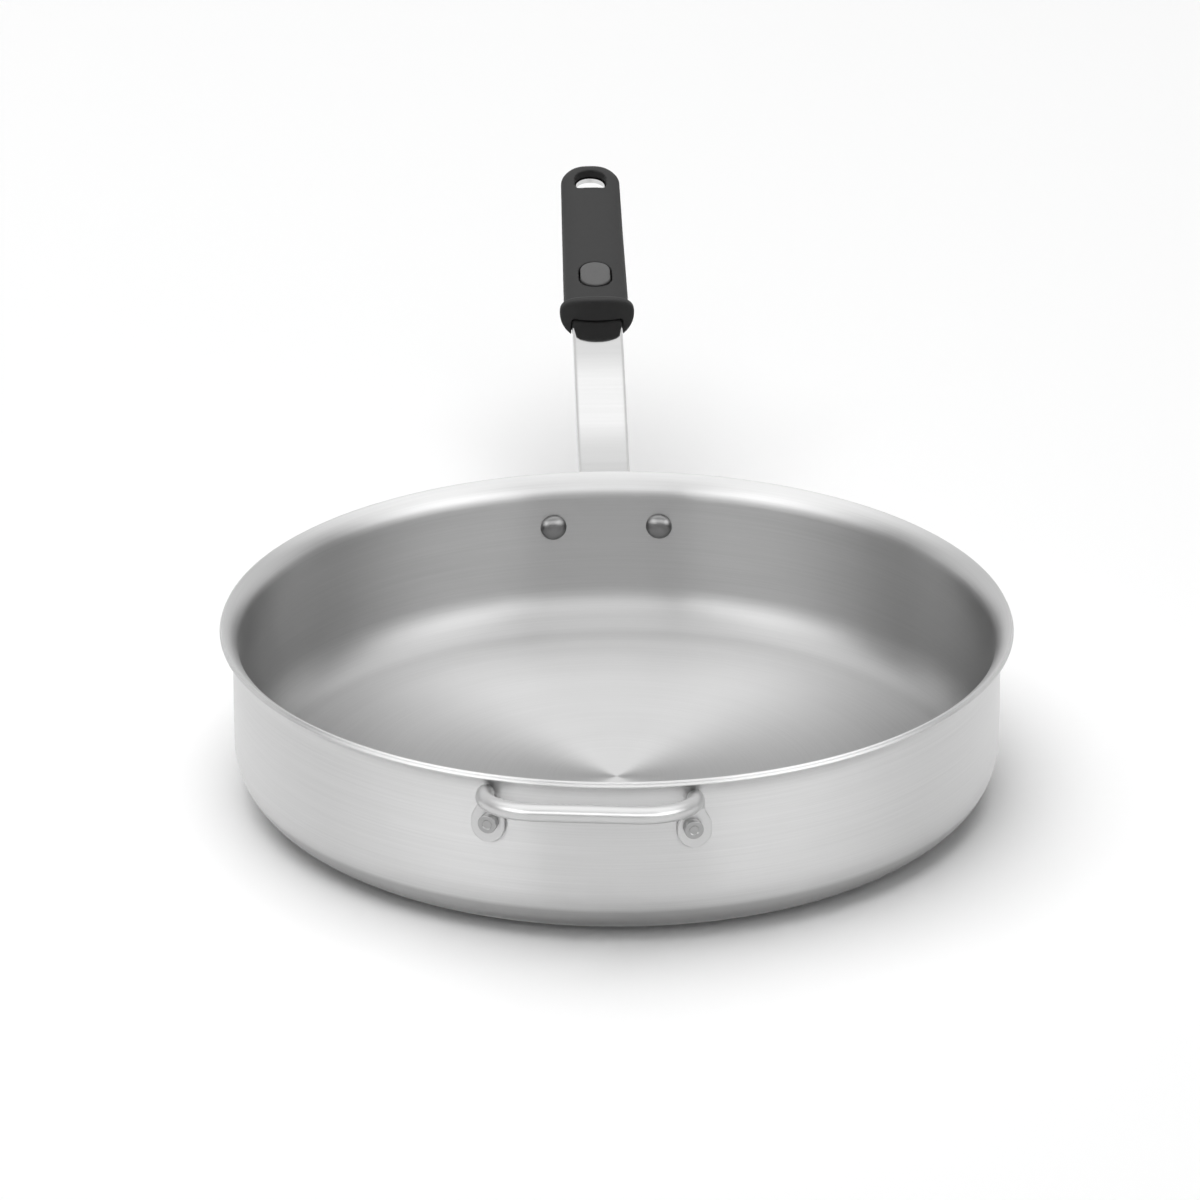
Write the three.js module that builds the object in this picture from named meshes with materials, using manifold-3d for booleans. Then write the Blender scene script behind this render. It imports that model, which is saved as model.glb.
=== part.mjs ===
// Saute pan: a drawn clad body, a riveted strap handle with a removable silicone grip,
// and a riveted rod helper handle on the far side.
// Millimetres, +Z up. The origin is the centre of the base, and the long handle points along +Y.
import * as THREE from 'three';
import { mergeVertices } from 'three/addons/utils/BufferGeometryUtils.js';
import Module from 'manifold-3d';

// Pan body
const bodyRadius = 161.5; // outside of the wall
const panHeight = 75; // base to the top of the lip
const sheet = 2.6; // clad sheet, the same all over
const cornerRadius = 24; // outside of the bottom corner
const lipRadius = 12.1; // upper face of the flared lip
const lipSweep = 65; // degrees from the wall to the lip's edge
const bodySegments = 72;

// Rivets of both handles
const shankRadius = 3;
const domeRadius = 5.75; // domed heads inside the pan
const domeHeight = 3.2;
const upsetRadius = 4.8; // formed heads on the long handle's plate
const upsetHeight = 2.4;
const studRadius = 3.9; // plain heads on the helper handle's tabs
const studHeight = 3.4;
const headBevel = 0.6;

// Long handle: one stamping, plate and strap
const rivetDrop = 23; // rivet centres below the top of the lip
const plateWidth = 70;
const rivetEdge = 11.45; // rivet centres from the plate's sides
const plateBelow = 9; // plate below the rivet centres
const plateAbove = 6.6; // flat of the plate above the rivet centres
const plateCorner = 9;
const strapThickness = 2.2;
const strapWidth = 22.8;
const rootBend = 8; // wall side of the bend out of the plate
const rootSlope = 7; // degrees, by the pan
const riserSlope = 15;
const gripSlope = 10;
const rootRun = 44; // straight lengths between the bends' corners, along the top face
const riserRun = 64;
const neckRun = 36;
const riserBend = 260;
const neckBend = 300;
const flareRun = 24; // length in which the plate narrows to the strap
const edgeDepth = 6.8; // turned-down edges below the strap
const edgeBend = 1.6;
const edgeRun = 26; // length in which the turned-down edges grow

// Silicone grip, measured from the strap's top face at the collar
const gripLength = 135.6;
const gripWidthFront = 29.9;
const gripWidthTail = 27.2;
const gripTop = 4.4; // above the strap's top face
const gripDepth = 12.1; // below it
const tailDepth = 3.8; // below it at the tail
const tailTaper = 60; // length in which the underside rises
const tailEdge = 5; // rounding of the tail's edges
const gripPower = 2.8; // squareness of the section
const collarWidth = 33.9;
const collarCentre = 1.6; // height of its widest line
const collarUp = 9.8;
const collarDown = 13;
const collarPower = 2.25;
const collarSides = 2.3; // sides of its face behind the mouth of the grip
const collarThickness = 3;
const collarBlend = 6; // fillet from the collar to the grip
const faceBow = 4.5; // bow of the collar, forward at its middle
const faceEdge = 0.6;
const strapEndGap = 4.2; // from the strap's end to the grip's end
const hangWidth = 14.5; // hole for hanging, through grip and strap
const hangLength = 16;
const hangCorner = 2.6; // corners of its straight front
const hangFromEnd = 15.1; // its middle from the grip's end
const hangRim = 0.6; // steel that shows inside the hole
const hangRelief = 2.2; // grip's hole under the strap, beyond the one above it

// Lock button, its leaf spring and the spring's rivet
const buttonWidth = 13.6;
const buttonLength = 20.6;
const buttonFromCollar = 33;
const buttonRise = 0.5; // above the grip's crown
const buttonFlange = 1.2; // stop under the strap, beyond the button's sides
const flangeThickness = 1.3;
const windowGap = 0.75;
const springThickness = 0.6;
const springWidth = 8;
const springRivetRun = 30; // button centre to spring rivet
const springFoot = 7; // spring on either side of its rivet
const springRamp = 8;
const springRivetRadius = 1.5;
const springHeadRadius = 2.8;
const springHeadHeight = 1.4;

// Helper handle: one rod with flattened, riveted ends
const helperOffLine = 5.4; // degrees off the long handle's line
const helperRivetDrop = 21.8;
const helperRivetSpacing = 80.6;
const rodRadius = 3.6;
const tabWidth = 14.2;
const tabBelow = 9.4; // tab below its rivet's centre
const tabShift = 1; // tab's middle beyond its rivet, away from the handle's middle
const tabThickness = 2.6;
const tabPower = 6; // squareness of the flattened section
const tabRise = 7.8; // flat of the tab above the rivet centre, narrowing to the rod
const tabShoulder = 1.7; // from flat tab to round rod
const barReach = 28.5; // wall to the middle of the bar
const legSlope = 8.9;
const legBend = 5;
const barBend = 23;

const clearance = 0.3; // between pieces that seat on each other
const degree = Math.PI / 180;
const wasm = await Module();
wasm.setup();

// Shared shapes

function steps(from, to, count) {
  return Array.from({ length: count + 1 }, (_, i) => from + ((to - from) * i) / count);
}

function arc(x, y, radius, from, to, count) {
  return steps(from, to, count).map((angle) => [
    x + radius * Math.cos(angle * degree),
    y + radius * Math.sin(angle * degree),
  ]);
}

function ease(value, from, to) {
  return THREE.MathUtils.smoothstep(value, from, to);
}

const mix = THREE.MathUtils.lerp;

// Solid for joining and cutting, its faces turned outwards
function solid(geometry) {
  const bare = geometry.clone();
  bare.deleteAttribute('normal');
  bare.deleteAttribute('uv');
  const merged = mergeVertices(bare, 1e-4);
  const corners = merged.attributes.position;
  const triangles = [];
  const [a, b, c] = [new THREE.Vector3(), new THREE.Vector3(), new THREE.Vector3()];
  let volume = 0;
  for (let i = 0; i < merged.index.count; i += 3) {
    const triangle = [0, 1, 2].map((k) => merged.index.getX(i + k));
    if (new Set(triangle).size < 3) continue;
    [a, b, c].forEach((corner, k) => corner.fromBufferAttribute(corners, triangle[k]));
    volume += a.dot(b.cross(c));
    triangles.push(triangle);
  }
  const order = volume < 0 ? [0, 2, 1] : [0, 1, 2];
  const triVerts = Uint32Array.from(triangles.flatMap((triangle) => order.map((k) => triangle[k])));
  return new wasm.Manifold(new wasm.Mesh({ numProp: 3, vertProperties: corners.array, triVerts }));
}

function geometryOf(body) {
  const { vertProperties, triVerts } = body.getMesh();
  const geometry = new THREE.BufferGeometry();
  geometry.setAttribute('position', new THREE.BufferAttribute(vertProperties, 3));
  geometry.setIndex(new THREE.BufferAttribute(triVerts, 1));
  geometry.computeVertexNormals();
  return geometry;
}

// Revolved solid about +Z from [radius, height] points
function revolve(profile, segments) {
  const points = profile.map(([radius, height]) => new THREE.Vector2(radius, height));
  return new THREE.LatheGeometry(points, segments).rotateX(Math.PI / 2);
}

// Skin over rings of equal, even point count, with flat ends
function loft(rings) {
  const count = rings[0].length;
  const last = (rings.length - 1) * count;
  const index = [];
  for (let ring = 0; ring < rings.length - 1; ring++) {
    for (let j = 0; j < count; j++) {
      const a = ring * count + j;
      const b = ring * count + ((j + 1) % count);
      index.push(a, b, b + count, a, b + count, a + count);
    }
  }
  for (let j = 0; j < count / 2 - 1; j++) {
    const [p, q, r, s] = [j, j + 1, count - 2 - j, count - 1 - j];
    index.push(p, r, q, p, s, r);
    index.push(last + p, last + q, last + r, last + p, last + r, last + s);
  }
  const positions = rings.flat().flatMap((point) => point.toArray());
  const geometry = new THREE.BufferGeometry();
  geometry.setAttribute('position', new THREE.Float32BufferAttribute(positions, 3));
  geometry.setIndex(index);
  return geometry;
}

// Rounded section: half-width, heights above and below its widest line, and squareness
function roundedSection(count, half, up, down, power) {
  return Array.from({ length: count }, (_, i) => {
    const angle = ((i + 0.5) * 2 * Math.PI) / count;
    const [across, rise] = [Math.cos(angle), Math.sin(angle)].map(
      (value) => Math.sign(value) * Math.abs(value) ** (2 / power),
    );
    return [half * across, (rise > 0 ? up : down) * rise];
  });
}

function obround(width, length) {
  const radius = width / 2;
  const shape = new THREE.Shape();
  shape.absarc(0, length / 2 - radius, radius, 0, Math.PI);
  shape.absarc(0, radius - length / 2, radius, Math.PI, 2 * Math.PI);
  return shape;
}

function prism(shape, low, high) {
  const extrude = { depth: high - low, bevelEnabled: false, curveSegments: 10 };
  return new THREE.ExtrudeGeometry(shape, extrude).translate(0, 0, low);
}

// Bend of a rod or strap, from a start point and direction towards a side
class Bend extends THREE.Curve {
  constructor(start, along, towards, radius, angle) {
    super();
    Object.assign(this, { start, along, towards, radius, angle });
  }

  getPoint(t) {
    const turned = t * this.angle;
    return this.start
      .clone()
      .addScaledVector(this.along, this.radius * Math.sin(turned))
      .addScaledVector(this.towards, this.radius * (1 - Math.cos(turned)));
  }
}

// Straight runs joined by bends at their corners
function bentRoute(corners) {
  const route = new THREE.CurvePath();
  let from = corners[0].at;
  for (let i = 1; i < corners.length - 1; i++) {
    const { at, bend } = corners[i];
    const along = at.clone().sub(from).normalize();
    const onward = corners[i + 1].at.clone().sub(at).normalize();
    const towards = onward.clone().addScaledVector(along, -onward.dot(along)).normalize();
    const angle = along.angleTo(onward);
    const start = at.clone().addScaledVector(along, -bend * Math.tan(angle / 2));
    const curve = new Bend(start, along, towards, bend, angle);
    route.add(new THREE.LineCurve3(from, start));
    route.add(curve);
    from = curve.getPoint(1);
  }
  route.add(new THREE.LineCurve3(from, corners.at(-1).at));
  return route;
}

// Pan body

const innerRadius = bodyRadius - sheet;
const lipCentre = [innerRadius + lipRadius, panHeight - lipRadius * Math.sin(lipSweep * degree)];
const cornerCentre = [bodyRadius - cornerRadius, cornerRadius];

function panBody() {
  const lipEnd = 180 - lipSweep;
  return revolve(
    [
      [0, 0],
      ...arc(...cornerCentre, cornerRadius, -90, 0, 7),
      ...arc(...lipCentre, lipRadius - sheet, 180, lipEnd, 5),
      ...arc(...lipCentre, lipRadius, lipEnd, 180, 5),
      ...arc(...cornerCentre, cornerRadius - sheet, 0, -90, 7),
      [0, sheet],
    ],
    bodySegments,
  );
}

// Rivets lie along the wall's radius, at a bearing from +Y and a height

function onRadius(bearing, height) {
  const outward = new THREE.Vector3(Math.sin(bearing), Math.cos(bearing), 0);
  const turn = new THREE.Quaternion().setFromUnitVectors(new THREE.Vector3(0, 0, 1), outward);
  return new THREE.Matrix4().compose(new THREE.Vector3(0, 0, height), turn, new THREE.Vector3(1, 1, 1));
}

const wallSeat = innerRadius * Math.cos(Math.PI / bodySegments) - clearance / 2;
const plateSeat = bodyRadius + clearance + strapThickness + clearance / 2;
const tabSeat = bodyRadius + clearance + tabThickness + clearance / 2;

function rivet(outerSeat, outerRadius, outerHeight) {
  const dome = [0, 18, 36, 54, 72].map((angle) => [
    domeRadius * Math.sin((90 - angle) * degree),
    wallSeat - domeHeight * Math.sin(angle * degree),
  ]);
  return revolve(
    [
      [0, wallSeat - domeHeight],
      ...dome.reverse(),
      [shankRadius, wallSeat],
      [shankRadius, outerSeat],
      [outerRadius, outerSeat],
      [outerRadius, outerSeat + outerHeight - headBevel],
      [outerRadius - headBevel, outerSeat + outerHeight],
      [0, outerSeat + outerHeight],
    ],
    20,
  );
}

function rivetHole(place) {
  const radius = shankRadius + clearance;
  const length = 8 * sheet;
  const hole = new THREE.CylinderGeometry(radius, radius, length, 20).rotateX(Math.PI / 2);
  return solid(hole.translate(0, 0, bodyRadius).applyMatrix4(place));
}

const rivetBearing = Math.asin((plateWidth / 2 - rivetEdge) / bodyRadius);
const rivetHeight = panHeight - rivetDrop;
const handleRivets = {
  left: onRadius(-rivetBearing, rivetHeight),
  right: onRadius(rivetBearing, rivetHeight),
};

// Long handle: the route of the strap's top face, up the wall, out and along to the grip

function slope(angle, length) {
  return new THREE.Vector3(0, length * Math.cos(angle * degree), length * Math.sin(angle * degree));
}

const strapInGrip = gripLength - strapEndGap;
const rootCorner = new THREE.Vector3(
  0,
  bodyRadius + clearance,
  rivetHeight + plateAbove + rootBend * Math.tan(((90 - rootSlope) / 2) * degree),
);
const riserCorner = rootCorner.clone().add(slope(rootSlope, rootRun));
const neckCorner = riserCorner.clone().add(slope(riserSlope, riserRun));
const collarPoint = neckCorner.clone().add(slope(gripSlope, neckRun));
const gripPlace = new THREE.Matrix4()
  .makeTranslation(collarPoint)
  .multiply(new THREE.Matrix4().makeRotationX(gripSlope * degree));
const strapRoute = bentRoute([
  { at: rootCorner.clone().setZ(rivetHeight - plateBelow) },
  { at: rootCorner, bend: rootBend },
  { at: riserCorner, bend: riserBend },
  { at: neckCorner, bend: neckBend },
  { at: collarPoint.clone().add(slope(gripSlope, strapInGrip)) },
]);
const strapLength = strapRoute.getLength();
const collarStation = strapLength - strapInGrip;
const bendStation = plateBelow + plateAbove;
const bendEnd = bendStation + rootBend * (90 - rootSlope) * degree;
const flareEnd = bendStation + flareRun;
const roundStart = strapLength - strapWidth / 2;
const edgeEnd = collarStation + gripLength - hangFromEnd - hangLength / 2 - tailEdge;

function strapHalfWidth(s) {
  const plateHalf = plateWidth / 2;
  if (s < plateCorner) return plateHalf - plateCorner + Math.sqrt(plateCorner ** 2 - (plateCorner - s) ** 2);
  if (s > roundStart) return Math.sqrt((strapWidth / 2) ** 2 - (s - roundStart) ** 2);
  return mix(plateHalf, strapWidth / 2, ease(s, bendStation, flareEnd));
}

// Depth of the turned-down edges: none on the plate, full along the strap, none at its end
function strapEdgeDepth(s) {
  const grown = ease(s, flareEnd - edgeRun / 4, flareEnd + edgeRun);
  const fading = 1 - ease(s, edgeEnd - tailTaper / 2, edgeEnd);
  return 0.05 + edgeDepth * grown * fading;
}

function edgeRound(half, depth) {
  return Math.min(edgeBend, strapThickness / 3 + depth / 2, half / 2);
}

function strapSection(half, depth) {
  const round = edgeRound(half, depth);
  const inside = half - Math.min(strapThickness, half / 2);
  const fillet = Math.min(strapThickness / 2, depth / 2);
  const low = -strapThickness - depth;
  const corner = arc(round - half, -round, round, 180, 90, 3);
  const mirrored = corner.map(([x, n]) => [-x, n]).reverse();
  const top = [-0.6, -0.2, 0.2, 0.6].map((share) => [share * (half - round), 0]);
  const under = steps(1, -1, 9).map((share) => [share * (inside - fillet), -strapThickness]);
  return [
    [-half, low],
    ...corner,
    ...top,
    ...mirrored,
    [half, low],
    [inside, low],
    [inside, -strapThickness - fillet],
    ...under,
    [-inside, -strapThickness - fillet],
    [-inside, low],
  ];
}

function strapRing(s) {
  const at = strapRoute.getPoint(s / strapLength);
  const along = strapRoute.getTangent(s / strapLength);
  const wrap = 1 - ease(s, bendEnd, flareEnd);
  const wall = bodyRadius + clearance;
  return strapSection(strapHalfWidth(s), strapEdgeDepth(s)).map(([x, n]) => {
    const sag = wrap * (wall - Math.sqrt(wall ** 2 - x ** 2));
    return new THREE.Vector3(x, at.y - n * along.z - sag, at.z + n * along.y);
  });
}

function handleStrap() {
  const corners = steps(0, 1, 4).map((share) => plateCorner * share ** 2);
  const tail = steps(0, 75, 5).map((angle) => roundStart + (strapWidth / 2) * Math.sin(angle * degree));
  const stations = [
    ...corners,
    ...steps(bendStation, bendEnd, 6),
    ...steps(bendEnd, flareEnd, 5).slice(1),
    ...steps(flareEnd, collarStation, 16).slice(1),
    ...steps(edgeEnd - tailTaper / 2, edgeEnd, 5),
    ...tail,
  ];
  return loft(stations.map(strapRing));
}

// Grip: a loft of rounded sections along the strap, from the collar's face to the tail

const collarEnd = collarSides + collarThickness;

function gripSection(y) {
  const bottom = mix(gripDepth, tailDepth, ease(y, gripLength - tailTaper, gripLength));
  const half = mix(gripWidthFront, gripWidthTail, y / gripLength) / 2;
  const collar = 1 - ease(y, collarEnd, collarEnd + collarBlend);
  const tailHalf = gripWidthTail / 2;
  const past = Math.max(0, (y - (gripLength - tailHalf)) / tailHalf);
  const rounding = Math.max(0, (y - (gripLength - tailEdge)) / tailEdge);
  const [narrow, flat] = [past, rounding].map((value) => Math.sqrt(1 - value ** 2));
  return {
    centre: mix((gripTop - bottom) / 2, collarCentre, collar),
    half: mix(half, collarWidth / 2, collar) * narrow,
    up: mix((gripTop + bottom) / 2, collarUp, collar) * flat,
    down: mix((gripTop + bottom) / 2, collarDown, collar) * flat,
    power: mix(gripPower, collarPower, collar),
    bow: faceBow * collar,
  };
}

function gripRing(y, scale = 1) {
  const { centre, half, up, down, power, bow } = gripSection(y);
  return roundedSection(28, half * scale, up * scale, down * scale, power).map(
    ([x, n]) => new THREE.Vector3(x, y - bow * (1 - ((2 * x) / collarWidth) ** 2), centre + n),
  );
}

function gripBody() {
  const tailHalf = gripWidthTail / 2;
  const face = [0.3, 0.65, 0.95].map((share) => gripRing(collarSides, share));
  const back = steps(collarEnd, collarEnd + collarBlend, 5);
  const body = steps(gripLength - tailTaper, gripLength - tailHalf, 4);
  const tail = [20, 40, 55, 68, 78, 85].map(
    (angle) => gripLength - tailHalf * (1 - Math.sin(angle * degree)),
  );
  return loft([...face, ...[collarSides + faceEdge, ...back, ...body, ...tail].map((y) => gripRing(y))]);
}

// Pocket for the strap, a clearance larger than it all round, open at the collar
function strapPocket() {
  const mouth = -2 * faceBow;
  const stations = [
    mouth,
    ...steps(edgeEnd - tailTaper / 2, edgeEnd, 5).map((s) => s - collarStation),
    ...steps(0, 75, 5).map((angle) => strapInGrip - (strapWidth / 2) * (1 - Math.sin(angle * degree))),
  ];
  const rings = stations.map((y) => {
    const s = Math.max(y, 0) + collarStation;
    const half = strapHalfWidth(s);
    const depth = strapEdgeDepth(s);
    const round = edgeRound(half, depth);
    const corner = arc(round - half, -round, round + clearance, 180, 90, 3);
    const mirrored = corner.map(([x, n]) => [-x, n]).reverse();
    const low = -strapThickness - depth - clearance;
    const outline = [[-half - clearance, low], ...corner, ...mirrored, [half + clearance, low]];
    const end = y === stations.at(-1) ? y + clearance : y;
    return outline.map(([x, n]) => new THREE.Vector3(x, end, n));
  });
  return solid(loft(rings));
}

const hangCentre = gripLength - hangFromEnd;

// Round towards the tail, straight across at the front
function hangCut(margin, low, high) {
  const radius = hangWidth / 2 + margin;
  const corner = hangCorner + margin;
  const [tail, front] = [hangLength / 2 + margin - radius, corner - hangLength / 2 - margin];
  const shape = new THREE.Shape();
  shape.absarc(0, tail, radius, 0, Math.PI);
  shape.absarc(corner - radius, front, corner, Math.PI, 1.5 * Math.PI);
  shape.absarc(radius - corner, front, corner, 1.5 * Math.PI, 2 * Math.PI);
  return prism(shape, low, high).translate(0, hangCentre, 0);
}

function buttonCut(gap, low, high) {
  const shape = obround(buttonWidth + 2 * gap, buttonLength + 2 * gap);
  return prism(shape, low, high).translate(0, buttonFromCollar, 0);
}

function gripSleeve() {
  const above = gripTop + collarUp;
  const middle = -strapThickness / 2;
  const body = solid(gripBody())
    .subtract(strapPocket())
    .subtract(solid(buttonCut(windowGap, middle, above)))
    .subtract(solid(hangCut(0, middle, above)))
    .subtract(solid(hangCut(hangRelief, -gripDepth - collarDown, middle)));
  return geometryOf(body);
}

// Lock button: passes up through the strap and the grip's window, with a stop under the strap
function lockButton() {
  const top = gripTop + buttonRise;
  const stopTop = -strapThickness - clearance;
  const shape = obround(buttonWidth, buttonLength);
  const bevel = {
    bevelThickness: headBevel,
    bevelSize: headBevel,
    bevelOffset: -headBevel,
    bevelSegments: 2,
  };
  const depth = top - stopTop - headBevel;
  const cap = new THREE.ExtrudeGeometry(shape, { depth, curveSegments: 10, ...bevel });
  cap.translate(0, buttonFromCollar, stopTop);
  const stop = buttonCut(buttonFlange, stopTop - flangeThickness, stopTop);
  return geometryOf(solid(cap).add(solid(stop)));
}

// Leaf spring, riveted under the strap, its free end under the button
const springRivetAt = buttonFromCollar + springRivetRun;
const springTop = -strapThickness - clearance / 2;
const springHole = springRivetRadius + clearance / 2;

function lockSpring() {
  const low = -strapThickness - clearance - flangeThickness - clearance / 2;
  const heel = springRivetAt + springFoot;
  const knee = springRivetAt - springFoot;
  const toe = buttonFromCollar - buttonLength / 3;
  const upper = [[toe, low], [knee - springRamp, low], [knee, springTop], [heel, springTop]];
  const lower = upper.map(([y, n]) => [y, n - springThickness]).reverse();
  const outline = new THREE.Shape([...upper, ...lower].map(([y, n]) => new THREE.Vector2(y, n)));
  const sideways = new THREE.Matrix4().makeBasis(
    new THREE.Vector3(0, 1, 0), new THREE.Vector3(0, 0, 1), new THREE.Vector3(1, 0, 0),
  );
  const strip = prism(outline, -springWidth / 2, springWidth / 2).applyMatrix4(sideways);
  return geometryOf(solid(strip).subtract(solid(springRivetShape(clearance / 2))));
}

// Countersunk in the strap's top face, headed under the spring; a margin makes its hole
function springRivetShape(margin) {
  const top = -clearance / 2;
  const sunk = springRivetRadius + strapThickness / 2;
  const headTop = springTop - springThickness - clearance / 2;
  const low = headTop - springHeadHeight;
  const profile = [
    [0, low], [springHeadRadius * 0.6, low + springHeadHeight * 0.25],
    [springHeadRadius, headTop - springHeadHeight * 0.3], [springHeadRadius, headTop],
    [springRivetRadius + margin, headTop], [springRivetRadius + margin, top - strapThickness / 2],
    [sunk + margin, top], [sunk + margin, top + 2 * margin], [0, top + 2 * margin],
  ];
  return revolve(profile, 16).translate(0, springRivetAt, 0);
}

function cutStrap() {
  const [low, high] = [-strapThickness - edgeDepth, strapThickness];
  const cuts = [
    buttonCut(clearance, low, high), hangCut(-hangRim, low, high), springRivetShape(clearance / 2),
  ].map((cut) => solid(cut.applyMatrix4(gripPlace)));
  const holes = Object.values(handleRivets).map(rivetHole);
  return geometryOf([...cuts, ...holes].reduce((body, cut) => body.subtract(cut), solid(handleStrap())));
}

// Helper handle, in a frame whose +Y points out through its middle

const helperBearing = Math.asin(helperRivetSpacing / 2 / bodyRadius);
const helperHeight = panHeight - helperRivetDrop;
const helperTurn = new THREE.Matrix4().makeRotationZ((180 - helperOffLine) * degree);
const helperRivets = {
  left: helperTurn.clone().multiply(onRadius(helperBearing, helperHeight)),
  right: helperTurn.clone().multiply(onRadius(-helperBearing, helperHeight)),
};

// One half of the rod, from the foot of its tab to the middle of the bar
function helperHalf() {
  const bearing = Math.asin((helperRivetSpacing / 2 + tabShift) / bodyRadius);
  const outward = new THREE.Vector3(Math.sin(bearing), Math.cos(bearing), 0);
  const axis = outward.clone().multiplyScalar(bodyRadius + clearance + rodRadius);
  const foot = axis.clone().setZ(helperHeight - tabBelow);
  const bendStart = helperHeight + tabRise + tabShoulder;
  const legTop = axis.clone().setZ(bendStart + legBend * Math.tan(((90 - legSlope) / 2) * degree));
  const reach = bodyRadius + barReach - axis.y;
  const barCorner = legTop.clone().add(slope(legSlope, reach / Math.cos(legSlope * degree)));
  const route = bentRoute([
    { at: foot },
    { at: legTop, bend: legBend },
    { at: barCorner, bend: barBend },
    { at: barCorner.clone().setX(0) },
  ]);
  const length = route.getLength();
  const tabEnd = tabBelow + tabRise;
  const shoulderEnd = tabEnd + tabShoulder;
  const legEnd = shoulderEnd + legBend * (90 - legSlope) * degree;
  const barStart = length - barCorner.x + barBend * (1 - Math.PI / 2);
  const stations = [
    ...[25, 45, 65, 90].map((angle) => (tabWidth / 2) * (1 - Math.cos(angle * degree))),
    ...steps(tabBelow, tabEnd, 3),
    ...steps(tabEnd, shoulderEnd, 2).slice(1),
    ...steps(shoulderEnd, legEnd, 6).slice(1),
    ...steps(barStart, length - barCorner.x + barBend, 6),
    length,
  ];
  const frame = new THREE.Quaternion();
  let heading = new THREE.Vector3(0, 0, 1);
  return stations.map((s) => {
    const at = route.getPoint(s / length);
    const along = route.getTangent(s / length);
    frame.premultiply(new THREE.Quaternion().setFromUnitVectors(heading, along));
    heading = along;
    const round = ease(s, tabEnd, shoulderEnd);
    const short = Math.max(0, 1 - s / (tabWidth / 2));
    const narrowing = ease(s, tabBelow, shoulderEnd);
    const half = mix((tabWidth / 2) * Math.sqrt(1 - short ** 2), rodRadius, narrowing);
    const thick = mix(tabThickness / 2, rodRadius, round);
    const power = mix(tabPower, 2, round);
    const side = new THREE.Vector3(outward.y, -outward.x, 0).applyQuaternion(frame);
    const out = outward.clone().applyQuaternion(frame);
    return roundedSection(16, half, thick, thick, power).map(([x, n]) =>
      at.clone().addScaledVector(side, x).addScaledVector(out, n + thick - rodRadius),
    );
  });
}

function helperHandle() {
  const half = helperHalf();
  const other = half.slice(0, -1).map((ring) => ring.map(({ x, y, z }) => new THREE.Vector3(-x, y, z)));
  const rod = loft([...half, ...other.reverse()]).applyMatrix4(helperTurn);
  const holes = Object.values(helperRivets).map(rivetHole);
  return geometryOf(holes.reduce((body, cut) => body.subtract(cut), solid(rod)));
}

function drilledBody() {
  const holes = [...Object.values(handleRivets), ...Object.values(helperRivets)].map(rivetHole);
  return geometryOf(holes.reduce((body, cut) => body.subtract(cut), solid(panBody())));
}

// Assembly

const pan = new THREE.Group();
const grip = new THREE.Group();
gripPlace.decompose(grip.position, grip.quaternion, grip.scale);
pan.add(grip);

function add(parent, name, geometry, color, metalness, roughness) {
  const mesh = new THREE.Mesh(geometry, new THREE.MeshStandardMaterial({ color, metalness, roughness }));
  mesh.name = name;
  parent.add(mesh);
}

add(pan, 'pan_body', drilledBody(), 0xc4c4c4, 1, 0.34);
add(pan, 'handle_strap', cutStrap(), 0xd2d2d2, 1, 0.26);
add(pan, 'helper_handle', helperHandle(), 0xcfcfcf, 1, 0.22);
for (const [side, place] of Object.entries(handleRivets)) {
  const shape = rivet(plateSeat, upsetRadius, upsetHeight).applyMatrix4(place);
  add(pan, `handle_rivet_${side}`, geometryOf(solid(shape)), 0xa8a8a8, 1, 0.2);
}
for (const [side, place] of Object.entries(helperRivets)) {
  const shape = rivet(tabSeat, studRadius, studHeight).applyMatrix4(place);
  add(pan, `helper_rivet_${side}`, geometryOf(solid(shape)), 0xb0b0b0, 1, 0.3);
}
add(grip, 'grip_sleeve', gripSleeve(), 0x3f4042, 0, 0.7);
add(grip, 'lock_button', lockButton(), 0x5c5d5f, 0, 0.6);
add(grip, 'lock_spring', lockSpring(), 0xb8b8b8, 1, 0.3);
add(grip, 'spring_rivet', geometryOf(solid(springRivetShape(0))), 0xb0b0b0, 1, 0.3);

export default pan;
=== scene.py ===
import math

import bmesh
import bpy
import numpy as np
from mathutils import Matrix, Vector


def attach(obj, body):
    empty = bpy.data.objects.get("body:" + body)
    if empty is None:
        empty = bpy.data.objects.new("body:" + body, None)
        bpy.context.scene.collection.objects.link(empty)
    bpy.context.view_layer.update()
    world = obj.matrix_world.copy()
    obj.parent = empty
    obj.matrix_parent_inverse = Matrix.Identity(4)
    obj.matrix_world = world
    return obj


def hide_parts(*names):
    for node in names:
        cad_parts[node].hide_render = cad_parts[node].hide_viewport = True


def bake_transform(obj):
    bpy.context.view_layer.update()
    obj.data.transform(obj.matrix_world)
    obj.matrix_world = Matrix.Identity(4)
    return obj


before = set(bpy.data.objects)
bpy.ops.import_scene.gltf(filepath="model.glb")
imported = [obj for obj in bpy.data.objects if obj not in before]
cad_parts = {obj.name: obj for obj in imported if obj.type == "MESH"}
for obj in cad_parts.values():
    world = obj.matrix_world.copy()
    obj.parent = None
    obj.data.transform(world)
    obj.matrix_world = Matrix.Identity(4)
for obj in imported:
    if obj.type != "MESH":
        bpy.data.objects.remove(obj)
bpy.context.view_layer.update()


# Pan body: a wide, straight-sided vessel drawn from one clad sheet, steel on both faces of an aluminium
# core. The wall turns out into a short lip whose trimmed edge shows the core, and both faces are brushed
# round the axis.
wall_radius = 0.1615
pan_height = 0.075
sheet = 0.0026
corner_radius = 0.024
floor_fade = 0.006
lip_radius = 0.0121
lip_sweep = 65
trim_round = 0.0005
core_groove = 0.00014
core_spread = 0.00022


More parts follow.
